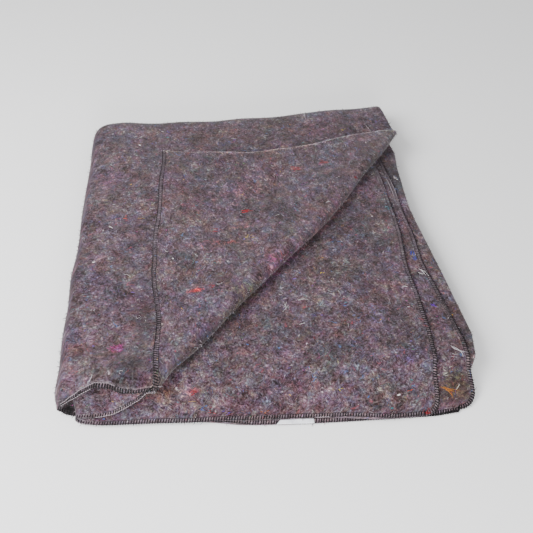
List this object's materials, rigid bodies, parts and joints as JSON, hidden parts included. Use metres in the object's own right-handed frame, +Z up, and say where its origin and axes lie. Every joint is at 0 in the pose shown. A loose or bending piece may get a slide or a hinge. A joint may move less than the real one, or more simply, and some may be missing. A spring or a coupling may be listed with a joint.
{
  "type": "folded wool blanket",
  "caption": "Recycled wool-felt blanket folded into a flat pile for the shelf, one corner of its outer plies turned back, overlocked hems and a small bare label.",
  "frame": {"origin": "middle of the folded pile's footprint, at its underside", "axes": "+X along the pile towards its hemmed side ends, +Y from the front hems to the back fold, +Z up"},
  "size_m": [0.5232, 0.5652, 0.0634],
  "materials": {
    "wool_felt": "napped felt of mixed recycled fibres",
    "white_tape": "smooth woven tape"
  },
  "bodies": {
    "root": {"blanket": "wool_felt", "sewn_label": "white_tape"}
  },
  "joints": []
}
